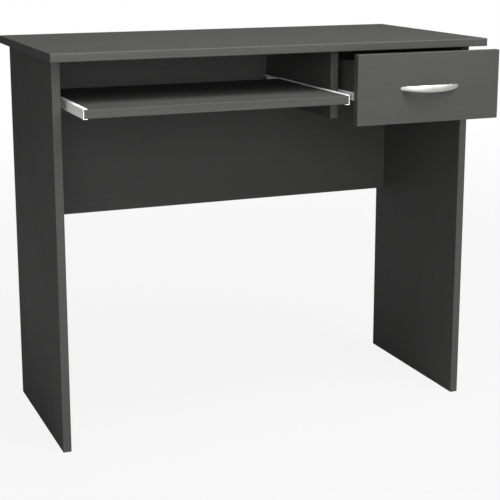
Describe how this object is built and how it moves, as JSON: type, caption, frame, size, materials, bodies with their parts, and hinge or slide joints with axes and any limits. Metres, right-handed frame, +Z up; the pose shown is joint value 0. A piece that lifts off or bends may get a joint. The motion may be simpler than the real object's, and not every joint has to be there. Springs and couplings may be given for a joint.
{
  "type": "computer desk with keyboard tray",
  "caption": "Small panel-leg computer desk with a pull-out keyboard tray on side channels and one pull-out drawer with a bow handle.",
  "frame": {"origin": "on the floor, in the middle of the whole desk as it stands here with the tray and the drawer partly pulled out", "axes": "+X to the user's right along the desktop, +Y to the rear (the user sits at -Y), +Z up"},
  "size_m": [0.9, 0.5384, 0.77],
  "materials": {
    "graphite_board": "melamine-faced chipboard, graphite grey, fine vertical wood-pore texture, satin",
    "graphite_edging": "plastic edging, graphite grey, satin",
    "drawer_board": "melamine-faced chipboard, dark grey, satin",
    "hardboard": "thin hardboard, smooth upper face",
    "beech": "plain beech, matt",
    "zinc_casting": "die-cast zinc, dull",
    "zinc_plated_steel": "bright zinc plate",
    "white_runner": "white epoxy coating on steel sheet, satin",
    "nylon_roller": "dark nylon, matt",
    "satin_nickel": "satin nickel plate"
  },
  "bodies": {
    "carcass": {"desktop": "graphite_board", "desktop_edging": "graphite_edging", "left_side_panel": "graphite_board", "left_side_edging": "graphite_edging", "right_side_panel": "graphite_board", "right_side_edging": "graphite_edging", "modesty_panel": "graphite_board", "modesty_edging": "graphite_edging", "divider_panel": "graphite_board", "divider_edging": "graphite_edging", "cam_locks": "zinc_casting", "cam_bolts": "zinc_plated_steel", "wooden_dowels": "beech", "divider_screws": "zinc_plated_steel", "tray_runner_left": "white_runner", "tray_runner_right": "white_runner", "drawer_runner_left": "white_runner", "drawer_runner_right": "white_runner", "runner_screws": "zinc_plated_steel", "runner_axles": "zinc_plated_steel"},
    "tray": {"keyboard_tray": "graphite_board", "tray_edging": "graphite_edging", "tray_channel_left": "white_runner", "tray_channel_right": "white_runner", "tray_screws": "zinc_plated_steel", "tray_axles": "zinc_plated_steel"},
    "drawer": {"drawer_front": "graphite_board", "drawer_front_edging": "graphite_edging", "drawer_side_left": "drawer_board", "drawer_side_right": "drawer_board", "drawer_back": "drawer_board", "drawer_bottom": "hardboard", "drawer_bottom_pins": "zinc_plated_steel", "drawer_back_screws": "zinc_plated_steel", "drawer_cam_locks": "zinc_casting", "drawer_cam_bolts": "zinc_plated_steel", "drawer_slide_left": "white_runner", "drawer_slide_right": "white_runner", "drawer_slide_screws": "zinc_plated_steel", "drawer_axles": "zinc_plated_steel", "drawer_handle": "satin_nickel", "handle_screws": "zinc_plated_steel"},
    "tray_front_roller_left": {"tray_front_roller_left": "nylon_roller"},
    "tray_front_roller_right": {"tray_front_roller_right": "nylon_roller"},
    "tray_rear_roller_left": {"tray_rear_roller_left": "nylon_roller"},
    "tray_rear_roller_right": {"tray_rear_roller_right": "nylon_roller"},
    "drawer_front_roller_left": {"drawer_front_roller_left": "nylon_roller"},
    "drawer_front_roller_right": {"drawer_front_roller_right": "nylon_roller"},
    "drawer_rear_roller_left": {"drawer_rear_roller_left": "nylon_roller"},
    "drawer_rear_roller_right": {"drawer_rear_roller_right": "nylon_roller"}
  },
  "joints": [
    {"name": "tray_slide", "type": "slide", "parent": "carcass", "child": "tray", "axis": [0, -1, 0], "range_m": [-0.108, 0.082]},
    {"name": "drawer_slide", "type": "slide", "parent": "carcass", "child": "drawer", "axis": [0, -1, 0], "range_m": [-0.095, 0.1096]},
    {"name": "tray_front_roller_left_spin", "type": "hinge", "parent": "carcass", "child": "tray_front_roller_left", "pos_m": [-0.406, -0.063, 0.6515], "axis": [1, 0, 0], "range_deg": [-889, 677]},
    {"name": "tray_rear_roller_left_spin", "type": "hinge", "parent": "tray", "child": "tray_rear_roller_left", "pos_m": [-0.415, 0.063, 0.664], "axis": [1, 0, 0], "range_deg": [-865, 658]},
    {"name": "tray_front_roller_right_spin", "type": "hinge", "parent": "carcass", "child": "tray_front_roller_right", "pos_m": [0.1065, -0.063, 0.6515], "axis": [1, 0, 0], "range_deg": [-889, 677]},
    {"name": "tray_rear_roller_right_spin", "type": "hinge", "parent": "tray", "child": "tray_rear_roller_right", "pos_m": [0.1155, 0.063, 0.664], "axis": [1, 0, 0], "range_deg": [-865, 658]},
    {"name": "drawer_front_roller_left_spin", "type": "hinge", "parent": "carcass", "child": "drawer_front_roller_left", "pos_m": [0.1545, -0.093, 0.6495], "axis": [1, 0, 0], "range_deg": [-783, 903]},
    {"name": "drawer_rear_roller_left_spin", "type": "hinge", "parent": "drawer", "child": "drawer_rear_roller_left", "pos_m": [0.1455, 0.0576, 0.664], "axis": [1, 0, 0], "range_deg": [-761, 878]},
    {"name": "drawer_front_roller_right_spin", "type": "hinge", "parent": "carcass", "child": "drawer_front_roller_right", "pos_m": [0.406, -0.093, 0.6495], "axis": [1, 0, 0], "range_deg": [-783, 903]},
    {"name": "drawer_rear_roller_right_spin", "type": "hinge", "parent": "drawer", "child": "drawer_rear_roller_right", "pos_m": [0.415, 0.0576, 0.664], "axis": [1, 0, 0], "range_deg": [-761, 878]}
  ],
  "couplings": [
    {"joint": "tray_front_roller_left_spin", "follows": "tray_slide", "rad_per_m": 142.86},
    {"joint": "tray_rear_roller_left_spin", "follows": "tray_slide", "rad_per_m": 138.89},
    {"joint": "tray_front_roller_right_spin", "follows": "tray_slide", "rad_per_m": 142.86},
    {"joint": "tray_rear_roller_right_spin", "follows": "tray_slide", "rad_per_m": 138.89},
    {"joint": "drawer_front_roller_left_spin", "follows": "drawer_slide", "rad_per_m": 142.86},
    {"joint": "drawer_rear_roller_left_spin", "follows": "drawer_slide", "rad_per_m": 138.89},
    {"joint": "drawer_front_roller_right_spin", "follows": "drawer_slide", "rad_per_m": 142.86},
    {"joint": "drawer_rear_roller_right_spin", "follows": "drawer_slide", "rad_per_m": 138.89}
  ]
}
